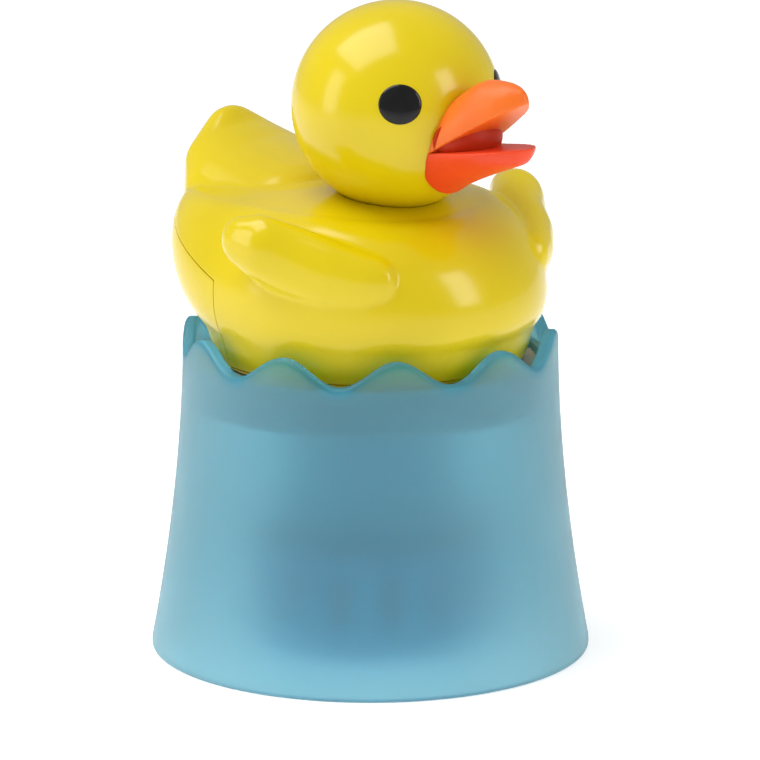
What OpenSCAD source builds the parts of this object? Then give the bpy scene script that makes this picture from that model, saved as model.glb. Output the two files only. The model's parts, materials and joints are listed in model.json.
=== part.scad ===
// Floating tablet dispenser: a duck float that turns and lifts off a wave-rimmed skirt.
// Millimetres. +Z up, origin at the centre of the skirt's foot, the duck faces -Y.

/* [Skirt] */
// Outer radius of the skirt at its foot
skirt_foot_r = 53.5; // [46:0.5:65]
// Outer radius of the skirt at its rim
skirt_rim_r = 45.2; // [42:0.1:54]
// Mean height of the wavy rim
rim_z = 76.5; // [63:0.5:92]
// Height of a wave from trough to crest
wave_h = 6.2; // [3:0.1:7.5]
// Number of waves round the rim
wave_count = 10; // [6:2:14]
// Wall thickness of the skirt
skirt_wall = 2.6; // [2:0.1:3.2]
// Thickness of the rim bead
bead_t = 3.4; // [2.8:0.1:4]

/* [Canister] */
// Outer radius of the tablet tube
tube_r = 21; // [17.5:0.5:22]
// Wall thickness of the tablet tube
tube_wall = 1.8; // [1.4:0.1:2.2]
// Outer radius of the dosing basket
basket_r = 30; // [28:0.5:36]
// Height of the dosing basket
basket_h = 23.5; // [19.5:0.5:28.5]
// Wall thickness of the dosing basket
basket_wall = 1.8; // [1.4:0.1:2.4]
// Height of the basket's floor above the ground
basket_lift = 3.5; // [2:0.5:8]
// Number of slots in the basket
slot_count = 16; // [8:4:24]
// Width of a basket slot
slot_w = 3; // [2:0.1:3.6]
// Number of flow windows in the tube and in the sleeve
window_count = 4; // [3:1:4]
// Width of a flow window, in degrees
window_deg = 34; // [24:1:36]

/* [Dial] */
// Thickness of the dial's disc
dial_t = 2.6; // [2.4:0.1:3.4]
// Number of ridges round the dial
knurl_count = 72; // [48:1:90]
// Wall thickness of the regulator sleeve
sleeve_wall = 1.6; // [1.4:0.1:2]

/* [Duck] */
// How far the breast stands out past the rim opening
breast_bulge = 3.4; // [2:0.1:6]
// How far the flanks stand out past the rim opening
side_bulge = 1.8; // [0.6:0.1:4]
// How far the stern stands out past the rim opening
stern_bulge = 7.4; // [5:0.1:9]
// Height of the duck's back above its foot
back_h = 41.7; // [36:0.1:50]
// Height of the tail's tip above the back
tail_rise = 13; // [10:0.1:16]
// Wall thickness of the duck's shells
shell_t = 2; // [1.6:0.1:2.6]
// Radius of the head
head_r = 24.9; // [20.5:0.1:28]
// How far the head's centre lies ahead of the axis
head_ahead = 9; // [5:0.5:11]
// Radius of an eye
eye_r = 4.7; // [3.5:0.1:6]
// Length of the bills past the head
bill_l = 18.4; // [15:0.1:22]
// Half width of the bills at the root
bill_w = 10.5; // [8.5:0.1:12.5]

/* [Fits] */
// Gap between parts that turn or slide past each other
run_gap = 0.35; // [0.3:0.01:0.5]
// Radial clearance of a running fit
fit_gap = 0.05; // [0.02:0.01:0.1]
// Clearance of parts that are put together once
seat_gap = 0.15; // [0.1:0.01:0.3]
// Radius of the small screws' shanks
screw_r = 1.1; // [1:0.05:1.3]

/* [Hidden] */

eps = 0.01;
bore_fn = 96;

// Skirt
flare_power = 1.8;
foot_round = 1;
crest_z = rim_z + wave_h / 2;
trough_z = rim_z - wave_h / 2;
wave_deg = 360 / wave_count;
bead_z = trough_z - 1;
land_r = skirt_rim_r - skirt_wall;
rim_bore_r = skirt_rim_r - bead_t;

// Collar that stands inside the rim and carries the tube
collar_t = 1.9;
collar_h = 7.4;
collar_drop = 3.9;
collar_off = 1;
deck_t = 3;
land_z = bead_z - collar_h;
deck_z = land_z - collar_drop;
deck_top = deck_z + deck_t;
spoke_count = 6;
spoke_w = 6;
hub_w = 10.5;

// Tube and the sleeve inside it
flange_t = 2;
flange_r = tube_r + 10;
tube_top = deck_top + flange_t;
tube_foot = basket_lift + 8.5;
tube_bore_r = tube_r - tube_wall;
lid_step = 0.7;
washer_t = 0.6;
sleeve_r = tube_bore_r - run_gap;
sleeve_bore_r = sleeve_r - sleeve_wall;
sleeve_foot = basket_lift + 4.5;
sleeve_floor_t = 2;
sleeve_flange_t = 1.5;
sleeve_flange_r = sleeve_r + 6.2;
sleeve_flange_z = tube_top + washer_t + run_gap;
journal_r = 4;
basket_floor_t = 1.8;
clip_t = 1.4;
clip_w = 3.1;
groove_depth = 0.6;
clip_z = sleeve_foot + sleeve_floor_t;

// Basket, its slots and the flow windows
basket_top = basket_lift + basket_h;
basket_floor = basket_lift + basket_floor_t;
window_z0 = tube_foot + 2.5;
window_z1 = basket_top - 3;
slot_z0 = basket_lift + 8.5;
slot_z1 = basket_top - 3;
boss_count = 4;
boss_r = 2.8;
boss_pos_r = basket_r - basket_wall - boss_r + 0.6;
boss_z = slot_z0 - 1;
low_flange_r = basket_r + 1.5;
ballast_h = 4;
ballast_gap = 0.6;
ballast_in_r = tube_r + 1.5;
ballast_out_r = basket_r - basket_wall - 0.7;
cover_t = 0.9;

// Dial
dial_z = sleeve_flange_z + sleeve_flange_t;
dial_top = dial_z + dial_t;
dial_r = land_r - collar_t - run_gap - 0.15;
dial_wall = 2.4;
dial_skirt_z = deck_top + 0.6;
knurl_depth = 0.7;
dial_travel = wave_deg;
stop_r = flange_r - 3;
stop_w = 3;
stop_half_deg = 3;
stop_gap_deg = 1;
lug_deg = 132;
dog_count = 3;
dog_r = stop_r + 3.4;
dog_len = 6;
dog_w = 3;

// Screws
screw_head_r = 2 * screw_r;
screw_head_h = 1.4;
tube_screw_count = 3;
tube_screw_l = 5;
sleeve_screw_pos_r = sleeve_r + 3;
sleeve_screw_l = dial_t + sleeve_flange_t - 0.1;
basket_screw_l = 9;
plug_screw_pos_r = 26;
plug_screw_l = 4.4;

// Duck's foot and hull
foot_z = dial_top + run_gap;
foot_r = dial_r - 3.2;
gunwale_z = crest_z + 0.8;
gunwale_r = rim_bore_r - 2;
plug_flange_t = 1.6;
plug_flange_r = foot_r - shell_t - 0.1;
lap_r = foot_r - 1.1;
hull_floor_z = foot_z + plug_flange_t;
plug_r = sleeve_bore_r - run_gap;
plug_l = 13;
plug_wall = 2;
ring_r = 0.85;
ring_z = foot_z - plug_l + 4.5;
ring_major_r = sleeve_bore_r - fit_gap - ring_r;
ring_groove_h = 2 * ring_r + 0.2;

// Duck's body, as distances from the axis in its three main directions
breast_r = gunwale_r + breast_bulge;
side_r = gunwale_r + side_bulge;
stern_r = gunwale_r + stern_bulge;
stern_reach = 4;
breast_z = foot_z + 16;
side_z = foot_z + 18.5;
stern_z = foot_z + 33;
back_z = foot_z + back_h;
side_top_z = back_z - 2.4;
breast_top_z = back_z - 4.4;
start_deg = 40;
turn_steps = 48;
low_steps = 7;
high_steps = 7;
top_steps = 5;

// Seam between hull and upper body: at the foot in front, stepped up behind the flank
seam_z = foot_z + 1.2;
seam_step_y = 10.4;
seam_rear_z = foot_z + 22.7;
seam_slope = 0.36;

// Head
head_dip = 4.2;
head_z = back_z + head_r - head_dip;
neck_r = 11;
neck_bore_r = 8.5;
neck_l = 7.5;
neck_z = head_z - head_r - neck_l + 2.5;
lock_t = 2.4;
lock_w = 4;
eye_yaw = asin((bill_w + eye_r + 0.97) / head_r);
eye_pitch = 10;
eye_dome = 0.7;
eye_depth = 1.2;
peg_r = 1.6;
peg_l = 3;

// Bills
bill_steps = 9;
bill_fn = 20;
bill_reach = head_r + bill_l;
bill_root = 0.76 * head_r;
bill_peg_r = 2;
bill_peg_x = 3.6;
mouth_y = 0.88 * head_r;
mouth_z = -0.3 * head_r;
upper_slope = 0.6;
lower_slope = 0.22;
liner_t = 1.4;

function mix3(front, side, rear, a) =
    front * pow(max(cos(a), 0), 2) + rear * pow(max(-cos(a), 0), 2) + side * pow(sin(a), 2);
function lerp(a, b, t) = a + (b - a) * t;
function skirt_r(z) =
    skirt_rim_r + (skirt_foot_r - skirt_rim_r) * pow(1 - min(z / rim_z, 1), flare_power);

// ---------------------------------------------------------------- helpers

module ring(r_out, r_in, z0, z1) {
    difference() {
        translate([0, 0, z0]) cylinder(r = r_out, h = z1 - z0, $fn = bore_fn);
        translate([0, 0, z0 - 1]) cylinder(r = r_in, h = z1 - z0 + 2, $fn = bore_fn);
    }
}

module disc(r, z0, z1) {
    translate([0, 0, z0]) cylinder(r = r, h = z1 - z0, $fn = bore_fn);
}

module around(count, r, first = 0) {
    for (i = [0 : count - 1]) rotate([0, 0, first + i * 360 / count]) translate([r, 0, 0]) children();
}

module sector(r, a0, a1, z0, z1) {
    reach = r / cos((a1 - a0) / 4);
    mid = (a0 + a1) / 2;
    translate([0, 0, z0]) linear_extrude(z1 - z0)
        polygon([[0, 0], for (a = [a0, mid, a1]) 1.1 * reach * [cos(a), sin(a)]]);
}

module arc_block(r_in, r_out, a0, a1, z0, z1) {
    intersection() {
        ring(r_out, r_in, z0, z1);
        sector(r_out, a0, a1, z0 - 1, z1 + 1);
    }
}

module pan_screw(length) {
    difference() {
        union() {
            cylinder(r = screw_head_r, h = screw_head_h, $fn = 48);
            translate([0, 0, -length]) cylinder(r = screw_r, h = length + eps, $fn = 48);
        }
        for (a = [0, 90]) rotate([0, 0, a])
            translate([-1.3, -0.3, screw_head_h - 0.8]) cube([2.6, 0.6, 1]);
    }
}

module flat_screw(length) {
    difference() {
        rotate_extrude($fn = 48) polygon([[0, -length], [screw_r, -length],
            [screw_r, -screw_r], [screw_head_r, 0], [0, 0]]);
        for (a = [0, 90]) rotate([0, 0, a]) translate([-1.2, -0.3, -0.8]) cube([2.4, 0.6, 1]);
    }
}

module flat_screw_hole(length) {
    rotate_extrude($fn = 48) polygon([[0, -length - 1], [screw_r, -length - 1],
        [screw_r, -screw_r], [screw_head_r, 0], [screw_head_r, 1], [0, 1]]);
}

// ---------------------------------------------------------------- skirt and canister

module wave_cut() {
    steps = 14;
    half_turn = wave_deg / 2;
    line = [for (i = [-steps / 2 : steps / 2]) let (a = i / steps * wave_deg)
        [skirt_rim_r * sin(a), rim_z - wave_h / 2 * cos(360 * a / wave_deg)]];
    side = skirt_rim_r * sin(half_turn);
    rotate([90, 0, 0]) translate([0, 0, -skirt_foot_r - 2]) linear_extrude(skirt_foot_r + 2 - 0.7 * land_r)
        polygon(concat(line, [[side, crest_z + 4], [-side, crest_z + 4]]));
}

module wave_skirt() {
    steps = 9;
    outer = [for (i = [0 : steps]) let (z = foot_round + i / steps * (rim_z - foot_round)) [skirt_r(z), z]];
    inner = [for (i = [steps : -1 : 0]) let (z = i / steps * land_z) [skirt_r(z) - skirt_wall, z]];
    color("#6FB7CB") difference() {
        rotate_extrude($fn = bore_fn) polygon(concat(
            [[skirt_r(0) - foot_round, 0]], outer, [[skirt_rim_r, crest_z], [rim_bore_r, crest_z],
            [rim_bore_r, bead_z], [land_r, bead_z], [land_r, land_z]], inner));
        for (i = [0 : wave_count - 1]) rotate([0, 0, (i + 0.5) * wave_deg]) wave_cut();
    }
}

module seat_collar() {
    color("#5AA5C0") difference() {
        union() {
            ring(land_r, land_r - collar_t, land_z, bead_z);
            ring(land_r - collar_off, land_r - collar_t, deck_z, land_z + eps);
            ring(tube_r + seat_gap + hub_w, tube_r + seat_gap, deck_z, deck_top);
            around(spoke_count, 0, 30) translate([tube_r + hub_w - 1, -spoke_w / 2, deck_z])
                cube([land_r - collar_t - tube_r - hub_w + 1.5, spoke_w, deck_t]);
        }
        around(tube_screw_count, stop_r, 90) disc(screw_r, deck_z - 1, deck_top + 1);
    }
}

module tablet_tube() {
    color("#8FA3A8") difference() {
        union() {
            ring(tube_r, tube_bore_r, tube_foot, deck_top);
            ring(tube_r + lid_step, tube_r - 1, basket_top - flange_t, basket_top);
        }
        for (i = [0 : window_count - 1]) let (a = 45 + i * 360 / window_count)
            sector(tube_r + 2, a - window_deg / 2, a + window_deg / 2, window_z0, window_z1);
    }
}

module tube_flange() {
    color("#8FA3A8") difference() {
        union() {
            ring(flange_r, tube_bore_r, deck_top, tube_top);
            for (a = [lug_deg - 2 * stop_half_deg - stop_gap_deg,
                    lug_deg + dial_travel + 2 * stop_half_deg + stop_gap_deg])
                arc_block(stop_r - stop_w / 2, stop_r + stop_w / 2, a - stop_half_deg,
                    a + stop_half_deg, tube_top - eps, dial_z - run_gap);
        }
        around(tube_screw_count, stop_r, 90) disc(screw_r, deck_top - 1, tube_top + 1);
    }
}

module basket_lid() {
    color("#1F8FBF") difference() {
        ring(low_flange_r, tube_r + fit_gap, basket_top, basket_top + flange_t);
        around(boss_count, boss_pos_r) disc(screw_r, basket_top - 1, basket_top + flange_t + 1);
    }
}

module tube_screws() {
    color("#C9CCCE") around(tube_screw_count, stop_r, 90) translate([0, 0, tube_top])
        pan_screw(min(tube_screw_l, deck_t + flange_t));
}

module thrust_washer() {
    color("#F2F2EE") ring(sleeve_flange_r + 0.4, tube_bore_r + 0.3, tube_top, tube_top + washer_t);
}

module dosing_basket() {
    inner_r = basket_r - basket_wall;
    color("#1F8FBF") difference() {
        union() {
            ring(basket_r, inner_r, basket_lift, basket_top);
            disc(inner_r + eps, basket_lift, basket_floor);
            disc(journal_r + 3, basket_lift, sleeve_foot - run_gap);
            intersection() {
                around(boss_count, boss_pos_r) disc(boss_r, boss_z, basket_top);
                ring(inner_r + eps, tube_r + lid_step + run_gap, basket_lift, basket_top);
            }
        }
        for (i = [0 : slot_count - 1]) rotate([0, 0, (i + 0.5) * 360 / slot_count])
            translate([inner_r - 2, -slot_w / 2, slot_z0])
                cube([basket_wall + 4, slot_w, slot_z1 - slot_z0]);
        disc(journal_r + fit_gap, basket_lift - 1, sleeve_foot + 1);
        around(8, (journal_r + 3 + tube_r) / 2 + 1) disc(2, basket_lift - 1, basket_floor + 1);
        around(boss_count, boss_pos_r) disc(screw_r, basket_top - basket_screw_l + flange_t - 0.5, basket_top + 1);
    }
}

module basket_screws() {
    color("#C9CCCE") around(boss_count, boss_pos_r) translate([0, 0, basket_top + flange_t])
        pan_screw(basket_screw_l);
}

module ballast_ring() {
    color("#8C8F92") ring(ballast_out_r, ballast_in_r, basket_floor, basket_floor + ballast_h);
}

module ballast_cover() {
    color("#2B84B0") ring(basket_r - basket_wall, ballast_in_r - ballast_gap,
        basket_floor + ballast_h, basket_floor + ballast_h + cover_t);
}

// ---------------------------------------------------------------- dial

module dial_ring() {
    rim = [for (i = [0 : 2 * knurl_count - 1]) let (a = i * 180 / knurl_count)
        (dial_r - (i % 2) * knurl_depth) * [cos(a), sin(a)]];
    color("#D6CAC3") difference() {
        translate([0, 0, dial_skirt_z]) linear_extrude(dial_top - dial_skirt_z) polygon(rim);
        difference() {
            disc(dial_r - dial_wall, dial_skirt_z - 1, dial_z);
            arc_block(stop_r - stop_w / 2, stop_r + stop_w / 2, lug_deg - stop_half_deg,
                lug_deg + stop_half_deg, tube_top + run_gap, dial_z + 1);
        }
        disc(sleeve_bore_r, dial_z - 1, dial_top + 1);
        around(dog_count, dog_r) translate([-dog_w / 2 - run_gap, -dog_len / 2 - run_gap, dial_z - 1])
            cube([dog_w + 2 * run_gap, dog_len + 2 * run_gap, dial_t + 2]);
        around(3, sleeve_screw_pos_r, 60) translate([0, 0, dial_top]) flat_screw_hole(sleeve_screw_l);
    }
}

module regulator_sleeve() {
    color("#D5DADB") difference() {
        ring(sleeve_r, sleeve_bore_r, sleeve_foot + sleeve_floor_t, sleeve_flange_z);
        for (i = [0 : window_count - 1]) let (a = 45 - dial_travel + i * 360 / window_count)
            difference() {
                sector(sleeve_r + 2, a - window_deg / 2, a + window_deg / 2, window_z0, window_z1);
                disc(sleeve_bore_r - 2, window_z0 - 1, window_z1 + 1);
            }
        ring(sleeve_r + 1, sleeve_r - groove_depth, clip_z - 1, clip_z + clip_t);
    }
}

// Screwed to the dial; the sleeve hangs from it.
module sleeve_flange() {
    color("#D5DADB") difference() {
        ring(sleeve_flange_r, sleeve_bore_r, sleeve_flange_z, dial_z);
        around(3, sleeve_screw_pos_r, 60) disc(screw_r, sleeve_flange_z - 1, dial_z + 1);
    }
}

// Drained floor, with the journal that turns in the basket's floor.
module sleeve_floor() {
    color("#D5DADB") difference() {
        union() {
            disc(sleeve_r, sleeve_foot, sleeve_foot + sleeve_floor_t);
            disc(journal_r, basket_lift + 0.5, sleeve_foot + 1);
        }
        around(6, journal_r + 6) disc(2.5, sleeve_foot - 1, sleeve_foot + sleeve_floor_t + 1);
    }
}

module sleeve_screws() {
    color("#C9CCCE") around(3, sleeve_screw_pos_r, 60) translate([0, 0, dial_top])
        flat_screw(sleeve_screw_l);
}

module retaining_clip() {
    color("#E9E7DF") difference() {
        ring(sleeve_r - groove_depth + clip_w, sleeve_r - groove_depth, clip_z, clip_z + clip_t);
        translate([0, -4, clip_z - 1]) cube([sleeve_r + clip_w + 2, 8, clip_t + 2]);
    }
}

// ---------------------------------------------------------------- duck

// One line down the body from its top centre to its foot, at angle a from straight ahead.
function body_line(a, inset) =
    let (reach = stern_reach * pow(max(-cos(a), 0), 4),
        rm = mix3(breast_r, side_r, stern_r, a) + reach - inset,
        zm = mix3(breast_z, side_z, stern_z, a),
        rs = mix3(24, 27, stern_r - 4, a) + reach - inset / 2,
        zs = mix3(breast_top_z, side_top_z, side_top_z, a) - inset,
        z0 = (inset > 0) ? hull_floor_z + inset : foot_z,
        r0 = foot_r - inset, r1 = gunwale_r - inset)
    concat(
        [for (i = [1 : top_steps]) let (s = i / (top_steps + 1))
            [rs * s, lerp(back_z - inset, zs, pow(s, 2.2))]],
        [for (i = [0 : high_steps]) let (t = 90 - i * 90 / (high_steps + 1))
            [rs + (rm - rs) * cos(t), zm + (zs - zm) * sin(t)]],
        [for (i = [0 : low_steps]) let (t = 90 - i * (90 - start_deg) / low_steps)
            [r1 + (rm - r1) * (sin(t) - sin(start_deg)) / (1 - sin(start_deg)),
                gunwale_z + (zm - gunwale_z) * (cos(start_deg) - cos(t)) / cos(start_deg)]],
        [[r0, z0]]);

module body_form(inset = 0) {
    lines = [for (i = [0 : turn_steps - 1]) body_line(i * 360 / turn_steps, inset)];
    rows = len(lines[0]);
    points = concat(
        [for (i = [0 : turn_steps - 1]) let (a = i * 360 / turn_steps)
            for (p = lines[i]) [p[0] * sin(a), -p[0] * cos(a), p[1]]],
        [[0, 0, back_z - inset], [0, 0, lines[0][rows - 1][1]]]);
    top = turn_steps * rows;
    faces = [for (i = [0 : turn_steps - 1]) let (a = i * rows, b = ((i + 1) % turn_steps) * rows)
        each concat([[top, a, b]],
            [for (k = [0 : rows - 2]) each [[a + k, a + k + 1, b + k], [b + k, a + k + 1, b + k + 1]]],
            [[a + rows - 1, top + 1, b + rows - 1]])];
    polyhedron(points, [for (f = faces) [f[2], f[1], f[0]]]);
}

module below_seam() {
    far = stern_r + 20;
    translate([-far, -far, 0]) cube([2 * far, 2 * far, seam_z]);
    translate([-far, 0, 0]) rotate([90, 0, 90]) linear_extrude(2 * far)
        polygon([[seam_step_y, 0], [seam_step_y, seam_rear_z],
            [far, seam_rear_z + seam_slope * (far - seam_step_y)], [far, 0]]);
    disc(lap_r, 0, hull_floor_z + shell_t);
}

module head_place() {
    translate([0, -head_ahead, head_z]) children();
}

module drop(p) {
    translate([p[0], p[1], p[2]]) scale([p[3], p[4], p[5]]) sphere(r = 1, $fn = 24);
}

module chain(path) {
    for (i = [0 : len(path) - 2]) hull() {
        drop(path[i]);
        drop(path[i + 1]);
    }
}

// Swept up and narrowed to a soft point behind the stern.
module tail() {
    tip_y = stern_r + stern_reach - 0.2;
    chain([[0, 0.5 * tip_y, back_z - 8.2, 24, 18, 12.5],
        [0, 0.78 * tip_y, back_z - 4.7, 20, 11.5, 11],
        [0, 0.93 * tip_y, back_z + 0.02 * tail_rise, 15.5, 7, 9.5],
        [0, tip_y - 0.8, back_z + tail_rise - 5, 7.4, 4, 5]]);
}

module wing() {
    path = [[0.60, -0.68, 26.1, 3.2, 5.4], [0.69, -0.58, 26.4, 4.2, 7], [0.80, -0.44, 27.9, 4.8, 8],
        [0.90, -0.28, 30.6, 5.2, 7.6], [1.03, -0.176, 34.3, 4.6, 6.5], [1.07, -0.08, 35.4, 3, 4.2]];
    chain([for (p = path) [p[0] * side_r, p[1] * side_r, foot_z + p[2], p[3], p[4], p[4]]]);
}

module body_upper() {
    color("#F5DC28") difference() {
        union() {
            difference() {
                body_form();
                body_form(shell_t);
            }
            intersection() {
                body_form();
                head_place() sphere(r = head_r + seat_gap + shell_t, $fn = 54);
            }
            difference() {
                union() {
                    tail();
                    wing();
                    mirror([1, 0, 0]) wing();
                }
                body_form(shell_t);
            }
        }
        head_place() sphere(r = head_r + seat_gap, $fn = 54);
        translate([0, -head_ahead, neck_z]) cylinder(r = neck_r + seat_gap, h = 30, $fn = 48);
        below_seam();
    }
}

module body_hull() {
    rib_count = 8;
    color("#F5DC28") difference() {
        union() {
            intersection() {
                difference() {
                    body_form();
                    body_form(shell_t);
                }
                below_seam();
            }
            intersection() {
                for (i = [0 : rib_count - 1]) rotate([0, 0, (i + 0.5) * 360 / rib_count]) hull() {
                    translate([15, -0.8, hull_floor_z + 0.5]) cube([1, 1.6, shell_t]);
                    translate([lap_r - 3, -0.8, hull_floor_z + 0.5]) cube([2, 1.6, shell_t + 4]);
                }
                body_form();
            }
        }
        disc(plug_flange_r + 0.1, foot_z - 1, hull_floor_z);
        around(3, plug_screw_pos_r, 90) disc(screw_r, foot_z - 1, hull_floor_z + 6);
    }
}

module head_shell() {
    color("#F5DC28") head_place() difference() {
        union() {
            sphere(r = head_r, $fn = bore_fn);
            translate([0, 0, neck_z - head_z]) cylinder(r = neck_r, h = neck_l, $fn = bore_fn);
        }
        sphere(r = head_r - shell_t, $fn = bore_fn);
        translate([0, 0, neck_z - head_z - 1]) cylinder(r = neck_bore_r, h = neck_l + 4, $fn = bore_fn);
        for (side = [-1, 1]) eye_axis(side) {
            translate([0, 0, head_r - eye_depth]) cylinder(r = eye_r + 0.1, h = 5, $fn = 64);
            translate([0, 0, head_r - 8]) cylinder(r = peg_r + 0.1, h = 10, $fn = 48);
        }
        for (z = [bill_peg_z(true), bill_peg_z(false)]) for (side = [-1, 1])
            translate([side * bill_peg_x, 0, z]) rotate([90, 0, 0])
                cylinder(r = bill_peg_r + 0.1, h = head_r + 5, $fn = 48);
    }
}

module eye_axis(side) {
    rotate([0, 0, side * eye_yaw]) rotate([90 - eye_pitch, 0, 0]) children();
}

module head_lock_ring() {
    color("#E8E6DA") translate([0, -head_ahead, 0]) ring(neck_r + lock_w, neck_r, neck_z, neck_z + lock_t);
}

module eye(side) {
    color("#161616") head_place() eye_axis(side) {
        intersection() {
            translate([0, 0, head_r - eye_depth]) cylinder(r = eye_r, h = 5, $fn = 64);
            sphere(r = head_r + eye_dome, $fn = bore_fn);
        }
        translate([0, 0, head_r - peg_l - eye_depth]) cylinder(r = peg_r, h = peg_l + 0.2, $fn = 48);
    }
}

module eye_left() { eye(1); }
module eye_right() { eye(-1); }

function bill_peg_z(upper) = (upper ? 0.06 : -0.45) * head_r;
function bill_y(t) = lerp(bill_root, bill_reach - 1.2, t);
function mouth_line(y, slope) = mouth_z + slope * (y - mouth_y);
function ease(t) = let (s = min(t, 1)) s * s * (3 - 2 * s);
// Centre height on the mouth's line, half width and half height at t from root (0) to tip (1).
function upper_section(t) = let (z = mouth_line(bill_y(t), upper_slope))
    [z, bill_w * (1 - 0.66 * pow(t, 1.6)), lerp(0.15, 0.4, ease(t / 0.6)) * head_r - z];
function lower_section(t) = let (z = mouth_line(bill_y(t), lower_slope))
    [z, bill_w * (1 - 0.34 * pow(t, 3)), z + lerp(0.76, 0.355, pow(t, 0.8)) * head_r];

module bill_chain(upper) {
    for (i = [0 : bill_steps - 1]) hull() for (k = [i, i + 1]) let (t = k / bill_steps,
            s = upper ? upper_section(t) : lower_section(t))
        translate([0, -bill_y(t), s[0]]) scale([s[1], 1.2, s[2]]) sphere(r = 1, $fn = bill_fn);
}

module bill_pegs(upper) {
    for (side = [-1, 1]) translate([side * bill_peg_x, 0, bill_peg_z(upper)]) rotate([90, 0, 0])
        translate([0, 0, head_r - 4]) cylinder(r = bill_peg_r, h = 4.6, $fn = 32);
}

module mouth_scoop(upper) {
    place = upper ? [0, -bill_reach + 3, -0.22 * head_r] : [0, -bill_reach + 12.5, 0.06 * head_r];
    translate(place) scale([0.8 * bill_w, (upper ? 0.97 : 0.6) * bill_l, upper ? 8 : 11])
        sphere(r = 1, $fn = 32);
}

// Everything below a line that rises forward from the corners of the mouth.
module below_line(slope) {
    rotate([90, 0, 90]) translate([0, 0, -30]) linear_extrude(60)
        polygon([[0, mouth_z - slope * mouth_y], [-60, mouth_z + slope * (60 - mouth_y)],
            [-60, -60], [0, -60]]);
}

module upper_bill() {
    color("#F47A2A") head_place() {
        difference() {
            bill_chain(true);
            sphere(r = head_r + 0.05, $fn = 66);
            mouth_scoop(true);
            below_line(upper_slope);
            below_line(lower_slope);
        }
        bill_pegs(true);
    }
}

module lower_bill() {
    color("#EE5424") head_place() {
        intersection() {
            difference() {
                bill_chain(false);
                sphere(r = head_r + 0.05, $fn = 64);
                mouth_scoop(false);
            }
            below_line(lower_slope);
        }
        difference() {
            intersection() {
                sphere(r = head_r + 0.05 + liner_t, $fn = 64);
                mouth_scoop(true);
            }
            sphere(r = head_r + 0.05, $fn = 64);
        }
        bill_pegs(false);
    }
}

module drive_plug() {
    color("#DAD7CB") difference() {
        union() {
            disc(plug_flange_r, foot_z, hull_floor_z);
            disc(plug_r, foot_z - plug_l, foot_z + eps);
            around(dog_count, dog_r) translate([-dog_w / 2, -dog_len / 2, dial_z + 0.6])
                cube([dog_w, dog_len, foot_z - dial_z - 0.6 + eps]);
        }
        disc(plug_r - plug_wall - 1, foot_z - plug_l - 1, foot_z - 1);
        ring(plug_r + 1, ring_major_r - ring_r, ring_z - ring_groove_h / 2, ring_z + ring_groove_h / 2);
        around(3, plug_screw_pos_r, 90) translate([0, 0, foot_z]) mirror([0, 0, 1])
            flat_screw_hole(plug_screw_l);
    }
}

module plug_o_ring() {
    color("#2A2A2A") translate([0, 0, ring_z]) rotate_extrude($fn = bore_fn)
        translate([ring_major_r, 0]) circle(r = ring_r, $fn = 32);
}

module plug_screws() {
    color("#C9CCCE") around(3, plug_screw_pos_r, 90) translate([0, 0, foot_z]) mirror([0, 0, 1])
        flat_screw(plug_screw_l);
}

wave_skirt();
seat_collar();
tablet_tube();
tube_flange();
basket_lid();
tube_screws();
thrust_washer();
dosing_basket();
basket_screws();
ballast_ring();
ballast_cover();
dial_ring();
regulator_sleeve();
sleeve_flange();
sleeve_floor();
sleeve_screws();
retaining_clip();
body_hull();
body_upper();
head_shell();
head_lock_ring();
eye_left();
eye_right();
upper_bill();
lower_bill();
drive_plug();
plug_o_ring();
plug_screws();
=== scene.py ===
# %% [markdown]
# A floating tablet dispenser for a small pool: a glossy duck sits in a frosted bell with a
# wavy rim. The CAD model fixes every size and everything that turns or lifts. This notebook
# loads it, keeps the working parts inside as they are, and rebuilds what the eye rests on:
# the duck, its bills and eyes, and the frosted bell.

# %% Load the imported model
import json
import math

import bpy
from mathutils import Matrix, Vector


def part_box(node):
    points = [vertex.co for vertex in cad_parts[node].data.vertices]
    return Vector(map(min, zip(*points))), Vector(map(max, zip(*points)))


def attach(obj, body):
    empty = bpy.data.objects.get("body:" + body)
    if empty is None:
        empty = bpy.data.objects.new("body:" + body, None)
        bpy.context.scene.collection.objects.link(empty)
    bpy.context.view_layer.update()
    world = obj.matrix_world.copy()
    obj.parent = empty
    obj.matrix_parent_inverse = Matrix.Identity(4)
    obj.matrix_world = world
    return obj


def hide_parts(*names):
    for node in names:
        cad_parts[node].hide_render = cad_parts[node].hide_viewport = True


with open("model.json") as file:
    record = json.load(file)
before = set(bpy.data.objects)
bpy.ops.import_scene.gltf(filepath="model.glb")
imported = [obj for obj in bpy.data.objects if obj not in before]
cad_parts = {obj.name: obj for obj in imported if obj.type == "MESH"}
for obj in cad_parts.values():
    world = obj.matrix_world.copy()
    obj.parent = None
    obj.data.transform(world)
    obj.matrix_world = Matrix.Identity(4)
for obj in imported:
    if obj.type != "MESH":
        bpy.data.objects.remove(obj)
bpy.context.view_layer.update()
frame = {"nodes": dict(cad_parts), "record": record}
bpy.ops.object.select_all(action="DESELECT")
MM = 0.001

# %% [markdown]
# The camera comes first. A long lens from a little over a metre keeps the upright lines of
# the bell nearly parallel, as in a catalogue picture. The duck faces -Y, so a camera turned
# 43 degrees to its right sees one cheek and one wing.

# %% Camera
CAMERA_TURN = math.radians(-43)
CAMERA_AWAY = 1.2
CAMERA_HEIGHT = 0.344
CAMERA_DIP = math.radians(13.07)
CAMERA_YAW = math.radians(-0.11)

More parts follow.
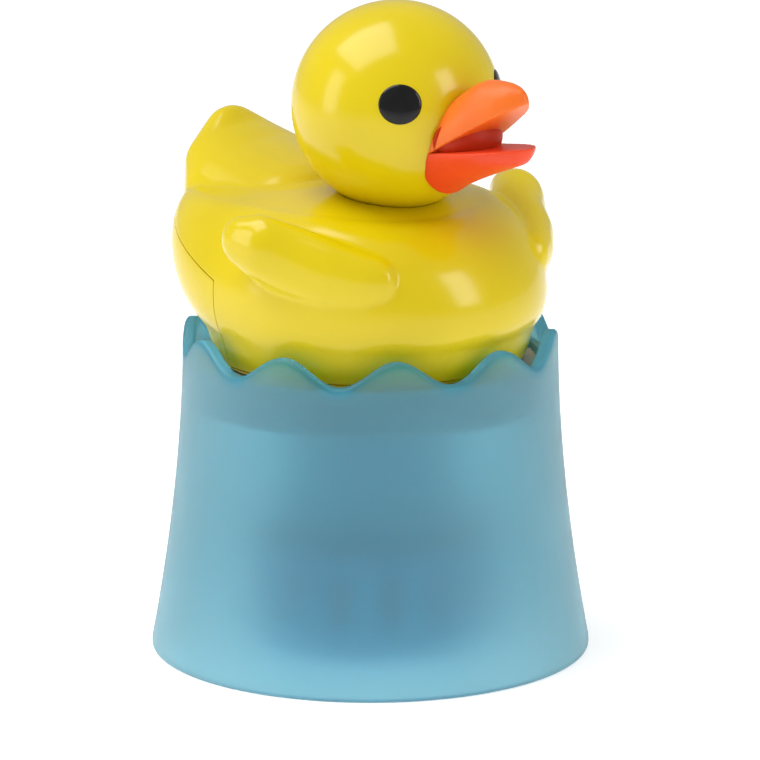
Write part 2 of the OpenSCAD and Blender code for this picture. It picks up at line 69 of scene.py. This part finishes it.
bpy.ops.object.camera_add(
    location=(CAMERA_AWAY * math.sin(CAMERA_TURN), -CAMERA_AWAY * math.cos(CAMERA_TURN), CAMERA_HEIGHT),
    rotation=(math.radians(90) - CAMERA_DIP, 0, CAMERA_TURN + CAMERA_YAW),
)
camera = bpy.context.object
camera.data.lens = 242
camera.data.sensor_width = 36
bpy.context.scene.camera = camera

# %% [markdown]
# Glossy plastic is judged by what it reflects, so the light is made of large soft panels: a
# wide one overhead, a tall one to the right, and a dim one to the left. A near-white world
# fills the shadows, and the floor is one pale sheet.

# %% Light and floor
TARGET = Vector((0, 0, 0.09))


def soft_panel(name, turn, height, away, size, power):
    """An area light that looks at the duck from a compass turn and a height."""
    place = Vector((away * math.sin(math.radians(turn)), -away * math.cos(math.radians(turn)), height))
    bpy.ops.object.light_add(type="AREA", location=place)
    panel = bpy.context.object
    panel.name = name
    panel.rotation_euler = (place - TARGET).to_track_quat("Z", "Y").to_euler()
    panel.data.shape = "RECTANGLE"
    panel.data.size, panel.data.size_y = size
    panel.data.energy = power
    return panel


soft_panel("panel_above", -125, 1.0, 0.4, (0.8, 0.8), 7.4)
soft_panel("panel_right", 20, 0.45, 0.9, (0.3, 0.6), 2.4)
soft_panel("panel_left", -120, 0.35, 0.9, (0.3, 0.6), 1.6)

world = bpy.data.worlds.new("studio")
world.use_nodes = True
world.node_tree.nodes["Background"].inputs["Color"].default_value = (1.0, 1.0, 1.0, 1.0)
world.node_tree.nodes["Background"].inputs["Strength"].default_value = 0.43
bpy.context.scene.world = world
bpy.context.scene.view_settings.view_transform = "Standard"

bpy.ops.mesh.primitive_plane_add(size=6)
floor = bpy.context.object
floor.name = "floor"
sheet = bpy.data.materials.new("white_paper_sheet")
sheet.use_nodes = True
paper = sheet.node_tree.nodes["Principled BSDF"]
paper.inputs["Base Color"].default_value = (0.8, 0.8, 0.8, 1.0)
paper.inputs["Roughness"].default_value = 0.7
paper.inputs["Emission Color"].default_value = (1.0, 1.0, 1.0, 1.0)
paper.inputs["Emission Strength"].default_value = 0.54
floor.data.materials.append(sheet)

# %% [markdown]
# Every finish starts from the real plastic. Two helpers are enough: one turns a hex colour
# into the linear numbers that shaders want, and one adds a node with its settings and links.

# %% Material helpers
def linear(hex_colour, alpha=1.0):
    """An sRGB hex colour as linear red, green, blue and alpha."""
    parts = [int(hex_colour[i:i + 2], 16) / 255 for i in (1, 3, 5)]
    return (*[c / 12.92 if c <= 0.04045 else ((c + 0.055) / 1.055) ** 2.4 for c in parts], alpha)


def add_node(tree, kind, settings=None, links=None):
    """A new node: settings are properties or input values, links are input: (node, output)."""
    node = tree.nodes.new(kind)
    for key, value in (settings or {}).items():
        if key in node.inputs:
            node.inputs[key].default_value = value
        else:
            setattr(node, key, value)
    for key, (source, output) in (links or {}).items():
        tree.links.new(source.outputs[output], node.inputs[key])
    return node


def new_material(name, **sockets):
    """A material whose principled shader has these values set on its own sockets."""
    material = bpy.data.materials.new(name)
    material.use_nodes = True
    shader = material.node_tree.nodes["Principled BSDF"]
    for key, value in sockets.items():
        shader.inputs[key.replace("_", " ")].default_value = value
    return material, material.node_tree, shader


def moulded_surface(tree, shader, grain_mm, depth_mm, tint, shade, spread_mm=14.0):
    """Fine mould grain as bump, and a slow drift between two shades of one colour."""
    place = add_node(tree, "ShaderNodeTexCoord")
    grain = add_node(tree, "ShaderNodeTexNoise", {"Scale": 1 / (grain_mm * MM), "Detail": 2.0},
                     {"Vector": (place, "Object")})
    bump = add_node(tree, "ShaderNodeBump", {"Strength": 0.35, "Distance": depth_mm * MM},
                    {"Height": (grain, "Fac")})
    tree.links.new(bump.outputs["Normal"], shader.inputs["Normal"])
    drift = add_node(tree, "ShaderNodeTexNoise", {"Scale": 1 / (spread_mm * MM), "Detail": 1.0},
                     {"Vector": (place, "Object")})
    ramp = add_node(tree, "ShaderNodeValToRGB", None, {"Fac": (drift, "Fac")})
    ramp.color_ramp.elements[0].position = 0.3
    ramp.color_ramp.elements[0].color = linear(shade)
    ramp.color_ramp.elements[1].position = 0.7
    ramp.color_ramp.elements[1].color = linear(tint)
    tree.links.new(ramp.outputs["Color"], shader.inputs["Base Color"])
    return bump, ramp


# %% [markdown]
# The duck is gloss ABS from a polished mould. The pigment is strong and the surface smooth,
# so the colour barely drifts and the gloss carries the shape.

# %% Duck yellow: polished ABS
def polished_yellow_abs():
    material, tree, shader = new_material("polished_yellow_abs", Roughness=0.2, IOR=1.44,
        Coat_Weight=0.08, Coat_Roughness=0.1, Subsurface_Weight=0.06, Subsurface_Scale=0.002)
    shader.inputs["Subsurface Radius"].default_value = (1.0, 0.8, 0.3)
    moulded_surface(tree, shader, 3.0, 0.02, "#DFC707", "#D8C005", 25.0)
    return material


# %% [markdown]
# The bills are softer PVC with a satin skin: same moulding, broader highlights.
# Both bills are one orange PVC; the redder, darker copy on the lower bill is painted shade.

# %% Bills: satin PVC
def satin_pvc(name, tint, shade):
    material, tree, shader = new_material(name, Roughness=0.4, IOR=1.42,
        Subsurface_Weight=0.15, Subsurface_Scale=0.002)
    shader.inputs["Subsurface Radius"].default_value = (1.0, 0.35, 0.15)
    moulded_surface(tree, shader, 0.9, 0.03, tint, shade, 12.0)
    return material


# %% [markdown]
# The bell is natural polypropylene with a frosted skin and a little blue dye. Light goes in
# and comes out scattered, so whatever hangs inside shows only as a soft darker cloud. Where
# the bead is marked on the mesh, the plastic is thicker and so its blue is stronger.

# %% Bell: frosted polypropylene
def frosted_polypropylene(name, tint, shade, clear, rough, bead_tint=None):
    material, tree, shader = new_material(name, Roughness=rough, IOR=1.49,
        Transmission_Weight=clear, Subsurface_Weight=0.6, Subsurface_Scale=0.006)
    shader.inputs["Subsurface Radius"].default_value = (0.5, 0.9, 1.0)
    bump, ramp = moulded_surface(tree, shader, 0.7, 0.03, tint, shade, 30.0)
    if bead_tint:
        bead = add_node(tree, "ShaderNodeAttribute", {"attribute_name": "bead"})
        mixed = tree.nodes.new("ShaderNodeMix")
        mixed.data_type = "RGBA"
        tree.links.new(bead.outputs["Fac"], mixed.inputs["Factor"])
        tree.links.new(ramp.outputs["Color"], mixed.inputs[6])
        mixed.inputs[7].default_value = linear(bead_tint)
        tree.links.new(mixed.outputs[2], shader.inputs["Base Color"])
    return material


# %% [markdown]
# The hidden parts are plain moulded polypropylene and acetal, with the fine grain of a
# spark-eroded mould. The seal is rubber, and the screws and ballast are stainless steel.

# %% Working parts
def moulded_plastic(name, tint, shade, rough=0.45):
    material, tree, shader = new_material(name, Roughness=rough, IOR=1.49)
    moulded_surface(tree, shader, 0.5, 0.04, tint, shade, 10.0)
    return material


def seal_rubber():
    material, tree, shader = new_material("nitrile_rubber", Roughness=0.6, IOR=1.52)
    moulded_surface(tree, shader, 0.3, 0.03, "#232323", "#1A1A1A", 4.0)
    return material


def stainless_steel():
    material, tree, shader = new_material("stainless_steel", Roughness=0.28, Metallic=1.0)
    moulded_surface(tree, shader, 0.25, 0.02, "#CDCFD1", "#B9BBBE", 3.0)
    return material


finishes = {
    "duck_yellow": polished_yellow_abs(),
    "bill_orange": satin_pvc("satin_orange_pvc", "#F27420", "#EC6D1C"),
    # The lower bill's red is a darker copy of the bill orange: painted shade, where the one orange bill lies
    # under the upper bill and inside the mouth.
    "bill_red": satin_pvc("satin_red_painted_shade_pvc", "#EE4A1C", "#E84318"),
    "skirt_frosted": frosted_polypropylene("frosted_blue_polypropylene", "#A4DDEA", "#9CD7E4", 0.86, 0.46,
                                           bead_tint="#5CCBEA"),
    "collar_blue": frosted_polypropylene("blue_polypropylene", "#A6DCEA", "#9CD5E4", 0.4, 0.4),
    "basket_blue": moulded_plastic("deep_blue_polypropylene", "#07AFD6", "#05A4CC"),
    "tube_grey": moulded_plastic("grey_polypropylene", "#74C6DA", "#6ABDD2"),
    "sleeve_natural": moulded_plastic("natural_polypropylene", "#D5DADB", "#C8CED0"),
    "dial_ivory": moulded_plastic("ivory_acetal", "#D9CCC4", "#CDBFB7", 0.5),
    "washer_white": moulded_plastic("white_acetal", "#F0EFEA", "#E4E3DC", 0.35),
    "plug_ivory": moulded_plastic("ivory_abs", "#DAD7CB", "#CFCBBD", 0.35),
    "seal_rubber": seal_rubber(),
    "steel": stainless_steel(),
}
material, tree, shader = new_material("gloss_black_acrylic", Roughness=0.16, IOR=1.36, Coat_Weight=0.1)
moulded_surface(tree, shader, 2.0, 0.01, "#121212", "#0B0B0B", 3.0)
finishes["eye_black"] = material

slots = {part["node"]: part["material_slot"] for part in frame["record"]["subparts"]}
for name, node in frame["nodes"].items():
    node.data.materials.clear()
    node.data.materials.append(finishes[slots[name]])
print("finishes:", len(finishes), "on", len(frame["nodes"]), "CAD nodes")

# %% [markdown]
# Helpers for modelling. Each piece ends the same way: smooth shading, its finish, the body
# that it rides on, and the CAD nodes that it stands for.

# %% Modelling helpers
def lerp(a, b, t):
    return a + (b - a) * t


def solo(obj):
    """Makes one object the only selected and active one."""
    bpy.ops.object.select_all(action="DESELECT")
    obj.select_set(True)
    bpy.context.view_layer.objects.active = obj
    return obj


def apply_modifier(obj, kind, **settings):
    solo(obj)
    modifier = obj.modifiers.new(kind.lower(), kind)
    for key, value in settings.items():
        setattr(modifier, key, value)
    bpy.ops.object.modifier_apply(modifier=modifier.name)
    return obj


def cut(obj, cutter, operation="DIFFERENCE", keep=False):
    apply_modifier(obj, "BOOLEAN", object=cutter, operation=operation, solver="MANIFOLD")
    if not keep:
        bpy.data.objects.remove(cutter)
    return obj


def settle(obj):
    """Writes an object's place, turn and size into its mesh."""
    solo(obj)
    bpy.ops.object.transform_apply(location=True, rotation=True, scale=True)
    return obj


def finish_piece(obj, name, slot, body, *nodes, sharp=40):
    settle(obj)
    bpy.ops.object.shade_smooth_by_angle(angle=math.radians(sharp))
    obj.name = name
    obj.data.name = name
    obj.data.materials.clear()
    obj.data.materials.append(finishes[slot])
    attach(obj, body)
    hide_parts(*nodes)
    print(name, "has", len(obj.data.polygons), "faces")
    return obj


# %% [markdown]
# The bell. It starts as a circle at the foot and is extruded upwards ring by ring, each ring
# scaled to the flare, as one would do by hand. The rim is then pushed into ten waves, and a
# Solidify gives the wall, thicker at the rim, where the real one has a rolled bead. The bead
# is also marked on the mesh, so that its finish can be stronger there.

# %% Frosted bell
skirt_low, skirt_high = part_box("wave_skirt")
FOOT_R = skirt_high.x + 0.2 * MM
RIM_R = 45.2 * MM
WAVES = 10
WAVE_H = 6.2 * MM
CREST_Z = skirt_high.z
RIM_Z = CREST_Z - WAVE_H / 2
WALL = 2.6 * MM
BEAD = 3.4 * MM
FLARE_POWER = 1.8


def skirt_radius(z):
    return RIM_R + (FOOT_R - RIM_R) * (1 - min(z / RIM_Z, 1)) ** FLARE_POWER


def rim_height(x, y):
    return RIM_Z + WAVE_H / 2 * math.cos(WAVES * (math.atan2(x, -y) - math.radians(1.2)))


def make_skirt():
    rings = 40
    bpy.ops.mesh.primitive_circle_add(vertices=300, radius=skirt_radius(0) - 0.3 * MM)
    skirt = bpy.context.object
    bpy.ops.object.mode_set(mode="EDIT")
    radius = skirt_radius(0) - 0.3 * MM
    for i in range(1, rings + 1):
        z = i / rings * RIM_Z
        bpy.ops.mesh.extrude_region_move(TRANSFORM_OT_translate={"value": (0, 0, RIM_Z / rings)})
        scale = skirt_radius(z) / radius
        bpy.ops.transform.resize(value=(scale, scale, 1), center_override=(0, 0, z))
        radius = skirt_radius(z)
    bpy.ops.mesh.select_all(action="SELECT")
    bpy.ops.mesh.normals_make_consistent(inside=False)
    bpy.ops.object.mode_set(mode="OBJECT")
    rim = skirt.vertex_groups.new(name="rim")
    for vertex in skirt.data.vertices:
        lift = max(0.0, (vertex.co.z - 0.55 * RIM_Z) / (0.45 * RIM_Z))
        vertex.co.z += (rim_height(vertex.co.x, vertex.co.y) - RIM_Z) * lift ** 1.5
        rim.add([vertex.index], max(0.0, 1 - (1 - lift) / 0.1) ** 0.5, "REPLACE")
    apply_modifier(skirt, "SOLIDIFY", thickness=BEAD, offset=-1, use_even_offset=True,
                   vertex_group="rim", thickness_vertex_group=WALL / BEAD)
    apply_modifier(skirt, "BEVEL", width=1.1 * MM, segments=5, limit_method="ANGLE",
                   angle_limit=math.radians(50))
    bead = skirt.data.color_attributes.new("bead", "FLOAT_COLOR", "POINT")
    for vertex in skirt.data.vertices:
        below = rim_height(vertex.co.x, vertex.co.y) - vertex.co.z
        strong = max(0.0, min(1.0, 1.6 - below / (1.6 * MM)))
        bead.data[vertex.index].color = (strong, strong, strong, 1.0)
    return finish_piece(skirt, "frosted_skirt", "skirt_frosted", "canister", "wave_skirt")


make_skirt()

# %% [markdown]
# The duck's body is one soft form before it is cut at its seam. A sphere's rows and columns
# are moved onto a boat shape: a low breast, flanks that bulge over the rim, and a full stern.
# The tail and the wings are chains of drops, each a little different from the last, and a
# remesh fuses everything into one skin.

# %% Duck's body form
FOOT_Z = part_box("drive_plug")[1].z - 1.6 * MM
HULL_FOOT_R = 37.0 * MM
GUNWALE_Z = CREST_Z + 0.8 * MM
GUNWALE_R = RIM_R - BEAD - 2.0 * MM
BREAST_R, SIDE_R, STERN_R = GUNWALE_R + 3.4 * MM, GUNWALE_R + 1.8 * MM, GUNWALE_R + 7.4 * MM
BREAST_Z, SIDE_Z, STERN_Z = FOOT_Z + 16 * MM, FOOT_Z + 18.5 * MM, FOOT_Z + 33 * MM
BACK_Z = FOOT_Z + 41.7 * MM
STERN_REACH = 4.0 * MM
STERN_SHOULDER = 2.0 * MM
TAIL_RISE = 13.0 * MM


def mix3(front, side, rear, turn):
    """A size that goes smoothly from the front over the side to the rear."""
    return (front * max(math.cos(turn), 0) ** 2 + side * math.sin(turn) ** 2
            + rear * max(-math.cos(turn), 0) ** 2)


def body_point(turn, down):
    """A point on the body: turn from straight ahead, down from 0 (back) to 1 (foot)."""
    reach = STERN_REACH * max(-math.cos(turn), 0) ** 4
    if math.cos(turn) < 0:
        reach += STERN_SHOULDER * math.sin(2 * turn) ** 2
    wide_r = mix3(BREAST_R, SIDE_R, STERN_R, turn) + reach
    wide_z = mix3(BREAST_Z, SIDE_Z, STERN_Z, turn)
    crest_r = mix3(24 * MM, 27 * MM, STERN_R - 4 * MM, turn) + reach
    crest_z = mix3(BACK_Z - 4.4 * MM, BACK_Z - 2.4 * MM, BACK_Z - 2.4 * MM, turn)
    if down < 0.3:
        s = down / 0.3
        r, z = crest_r * s, lerp(BACK_Z, crest_z, s ** 2.2)
    elif down < 0.6:
        s = math.radians(90) * (0.6 - down) / 0.3
        r, z = crest_r + (wide_r - crest_r) * math.cos(s), wide_z + (crest_z - wide_z) * math.sin(s)
    elif down < 0.84:
        s, start = math.radians(lerp(90, 40, (down - 0.6) / 0.24)), math.radians(40)
        r = GUNWALE_R + (wide_r - GUNWALE_R) * (math.sin(s) - math.sin(start)) / (1 - math.sin(start))
        z = GUNWALE_Z + (wide_z - GUNWALE_Z) * (math.cos(start) - math.cos(s)) / math.cos(start)
    elif down < 0.92:
        s = (down - 0.84) / 0.08
        r, z = lerp(GUNWALE_R, HULL_FOOT_R, s), lerp(GUNWALE_Z, FOOT_Z, s)
    else:
        r, z = HULL_FOOT_R * (1 - down) / 0.08, FOOT_Z
    return Vector((r * math.sin(turn), -r * math.cos(turn), z))


def chain(stations, steps=10, fine=28):
    """Drops at every step between stations (x, y, z, half sizes x, y, z), joined in one mesh."""
    drops = []
    for first, last in zip(stations, stations[1:]):
        for i in range(steps + 1):
            at = [lerp(a, b, i / steps) * MM for a, b in zip(first, last)]
            bpy.ops.mesh.primitive_uv_sphere_add(segments=fine, ring_count=fine // 2, radius=1,
                                                 location=at[:3], scale=at[3:])
            drops.append(settle(bpy.context.object))
    return joined(drops)


def joined(pieces):
    solo(pieces[0])
    for piece in pieces[1:]:
        piece.select_set(True)
    bpy.ops.object.join()
    return bpy.context.object


def fuse(obj, voxel_mm, smooth):
    """One closed skin round everything in a mesh, then a little smoothing."""
    apply_modifier(obj, "REMESH", mode="VOXEL", voxel_size=voxel_mm * MM, use_smooth_shade=True)
    apply_modifier(obj, "SMOOTH", factor=0.5, iterations=smooth)
    return obj


def make_tail():
    tip_y, back, rise = (STERN_R + STERN_REACH) / MM - 0.2, BACK_Z / MM, TAIL_RISE / MM
    return chain([(0, 0.5 * tip_y, back - 8.2, 24, 18, 12.5), (0, 0.78 * tip_y, back - 4.7, 22, 12.5, 12),
                  (0, 0.93 * tip_y, back + 0.3, 16.5, 7, 10), (0, tip_y - 0.8, back + rise - 5, 7.4, 4, 5)])


def make_wing(side):
    """A leaf-shaped wing: its front lies on the flank, and its tip stands free at the back."""
    wide, foot = SIDE_R / MM, FOOT_Z / MM
    path = [(0.60, -0.68, 26.1, 4.0, 6.0), (0.69, -0.58, 26.4, 5.2, 7.6), (0.80, -0.44, 27.9, 5.9, 8.8),
            (0.90, -0.28, 30.6, 6.1, 8.7), (1.01, -0.176, 33.6, 5.6, 7.8), (1.05, -0.08, 34.6, 4.4, 6.0)]
    return chain([(side * x * wide, y * wide, foot + z, thick, tall, tall) for x, y, z, thick, tall in path], 6)


def make_body_form():
    bpy.ops.mesh.primitive_uv_sphere_add(segments=128, ring_count=100, radius=1)
    form = bpy.context.object
    for vertex in form.data.vertices:
        turn = math.atan2(vertex.co.x, -vertex.co.y)
        down = math.acos(max(-1, min(1, vertex.co.z))) / math.pi
        vertex.co = body_point(turn, down)
    form = joined([form, make_tail(), make_wing(-1), make_wing(1)])
    bpy.ops.object.mode_set(mode="EDIT")
    bpy.ops.mesh.select_all(action="SELECT")
    bpy.ops.mesh.normals_make_consistent(inside=False)
    bpy.ops.object.mode_set(mode="OBJECT")
    return fuse(form, 0.7, 8)


body_form = make_body_form()
print("body form has", len(body_form.data.polygons), "faces")

# %% [markdown]
# The head is a ball that sits in a dish in the body's top. The dish is cut with a slightly
# larger ball, so the crease under the chin stays crisp. The eyes are low domes set in it.

# %% Head and eyes
HEAD_R = 24.9 * MM
HEAD_AT = Vector((0, -9 * MM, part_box("head_shell")[1].z - HEAD_R))
EYE_YAW = math.radians(41.2)
EYE_PITCH = math.radians(10)


def ball(radius, centre):
    bpy.ops.mesh.primitive_uv_sphere_add(segments=128, ring_count=96, radius=radius, location=centre)
    return settle(bpy.context.object)


def make_head():
    return finish_piece(ball(HEAD_R, HEAD_AT), "duck_head", "duck_yellow", "duck", "head_shell")


def make_eye(side, node):
    out = Vector((side * math.sin(EYE_YAW) * math.cos(EYE_PITCH),
                  -math.cos(EYE_YAW) * math.cos(EYE_PITCH), math.sin(EYE_PITCH)))
    bpy.ops.mesh.primitive_uv_sphere_add(
        segments=64, ring_count=32, radius=1, location=HEAD_AT + out * (HEAD_R - 0.55 * MM),
        rotation=out.to_track_quat("Z", "Y").to_euler(), scale=(5.05 * MM, 4.7 * MM, 1.1 * MM))
    return finish_piece(bpy.context.object, "duck_" + node, "eye_black", "duck", node)


make_head()
make_eye(1, "eye_left")
make_eye(-1, "eye_right")

# %% [markdown]
# The body splits along a stepped seam: at the foot in front, then up behind the flank and
# along the stern. Both halves are cut with the same tool, a hair larger for the upper one,
# which leaves the thin dark line of a real joint.

# %% Upper body and hull
SEAM_Z = FOOT_Z + 1.2 * MM
SEAM_STEP_Y = 10.4 * MM
SEAM_REAR_Z = FOOT_Z + 22.7 * MM
SEAM_SLOPE = 0.36
SEAM_GAP = 0.24 * MM
REACH = 90 * MM


def block(low, high):
    centre, size = (Vector(low) + Vector(high)) / 2, Vector(high) - Vector(low)
    bpy.ops.mesh.primitive_cube_add(size=1, location=centre, scale=size)
    return settle(bpy.context.object)


def drum(radius, low, high):
    bpy.ops.mesh.primitive_cylinder_add(vertices=160, radius=radius, depth=high - low,
                                        location=(0, 0, (low + high) / 2))
    return settle(bpy.context.object)


def below_seam(grow):
    """Everything below the seam, moved up and outwards by grow."""
    lower = block((-REACH, -REACH, 0), (REACH, REACH, SEAM_Z + grow))
    rear = block((-REACH - 1 * MM, SEAM_STEP_Y - grow, -1 * MM), (REACH + 1 * MM, REACH, SEAM_REAR_Z + grow))
    for vertex in rear.data.vertices:
        if vertex.co.z > 0 and vertex.co.y > SEAM_STEP_Y + 1 * MM:
            vertex.co.z += SEAM_SLOPE * (REACH - SEAM_STEP_Y)
    cut(lower, rear, "UNION")
    return cut(lower, drum(HULL_FOOT_R - 1.1 * MM + grow, -2 * MM, FOOT_Z + 3.6 * MM + grow), "UNION")


def copy_of(obj):
    twin = obj.copy()
    twin.data = obj.data.copy()
    bpy.context.collection.objects.link(twin)
    return twin


def make_body_halves():
    upper = copy_of(body_form)
    cut(upper, below_seam(SEAM_GAP / 2))
    cut(upper, ball(HEAD_R + 0.1 * MM, HEAD_AT))
    finish_piece(upper, "duck_upper", "duck_yellow", "duck", "body_upper", sharp=50)
    hull = copy_of(body_form)
    cut(hull, below_seam(-SEAM_GAP / 2), "INTERSECT")
    cut(hull, drum(HULL_FOOT_R - 2 * MM, FOOT_Z - 4 * MM, FOOT_Z + 1.6 * MM))
    finish_piece(hull, "duck_hull", "duck_yellow", "duck", "body_hull", sharp=50)
    bpy.data.objects.remove(body_form)


make_body_halves()

# %% [markdown]
# Each bill is a chain of drops from the cheek to its tip, trimmed to the line of the mouth and
# hollowed with one large drop. A second remesh rounds the lips. The lower bill also carries
# the red lining that covers the face inside the mouth. The red of the lining and of the lower
# bill is painted shade on the one orange bill, where it lies under the upper bill and in the mouth.

# %% Bills
BILL_REACH = 43.3
MOUTH_Y, MOUTH_Z = 21.9, -7.5


def on_head(stations):
    x, y, z = HEAD_AT / MM
    return [(x + s[0], y - s[1], z + s[2], *s[3:]) for s in stations]


def mouth_wedge(slope, above):
    """A block that covers one side of the mouth's line, which rises forward from its corners."""
    x, y, z = HEAD_AT
    low = 0 if above else -40 * MM
    wedge = block((-0.03, -0.03, low), (0.03, 0.03, low + 40 * MM))
    for vertex in wedge.data.vertices:
        vertex.co += Vector((x, y - MOUTH_Y * MM, z + MOUTH_Z * MM))
        vertex.co.z += slope * (y - MOUTH_Y * MM - vertex.co.y)
    return wedge


def ease(t):
    t = min(t, 1)
    return t * t * (3 - 2 * t)


def bill_form(slope, half_width, edge):
    """Drops centred on the mouth's line from root to tip; edge is the top or bottom height."""
    stations = []
    for i in range(12):
        t = i / 11
        y = lerp(18.9, BILL_REACH - 1.2, t)
        line = MOUTH_Z + slope * (y - MOUTH_Y)
        stations.append((0, y, line, half_width(t), 1.9, abs(edge(t) - line)))
    return fuse(chain(on_head(stations), 4), 0.4, 3)


def large_drop(y, z, width, length, height):
    station = (0, y, z, width, length, height)
    return chain(on_head([station, station]), 1, 64)


def beak_half_width(t):
    return 10.5 * (1 - 0.62 * t ** 1.6) * math.sqrt(1 - (max(0, t - 0.8) / 0.23) ** 2)


def beak_top(t):
    return lerp(3.8, 10.2, ease(t / 0.6)) - 1.2 * max(0, (t - 0.75) / 0.25) ** 2


def make_upper_bill():
    bill = bill_form(0.6, beak_half_width, beak_top)
    cut(bill, mouth_wedge(0.6, above=False))
    cut(bill, large_drop(40.3, -5.5, 8.4, 17.9, 8))
    fuse(bill, 0.3, 4)
    cut(bill, ball(HEAD_R + 0.05 * MM, HEAD_AT))
    return finish_piece(bill, "duck_upper_bill", "bill_orange", "duck", "upper_bill", sharp=60)


def spoon_half_width(t):
    """Full width for most of its length, then a round front."""
    return 10.4 * (1 - 0.1 * t) * math.sqrt(1 - (max(0, t - 0.62) / 0.42) ** 2)


def make_lower_bill():
    bill = bill_form(0.12, spoon_half_width, lambda t: lerp(-18.9, -8.9, t ** 0.8))
    cut(bill, mouth_wedge(0.12, above=True))
    cut(bill, large_drop(31.5, -0.5, 8.9, 10.5, 10))
    fuse(bill, 0.3, 4)
    lining = ball(HEAD_R + 1.3 * MM, HEAD_AT)
    cut(lining, large_drop(30, -5, 11.5, 14, 8), "INTERSECT")
    cut(bill, lining, "UNION")
    throat = large_drop(24, -4.5, 9.2, 7.6, 7)
    cut(throat, mouth_wedge(0.6, above=True))
    cut(bill, throat, "UNION")
    cut(bill, ball(HEAD_R + 0.05 * MM, HEAD_AT))
    return finish_piece(bill, "duck_lower_bill", "bill_red", "duck", "lower_bill", sharp=60)


make_upper_bill()
make_lower_bill()
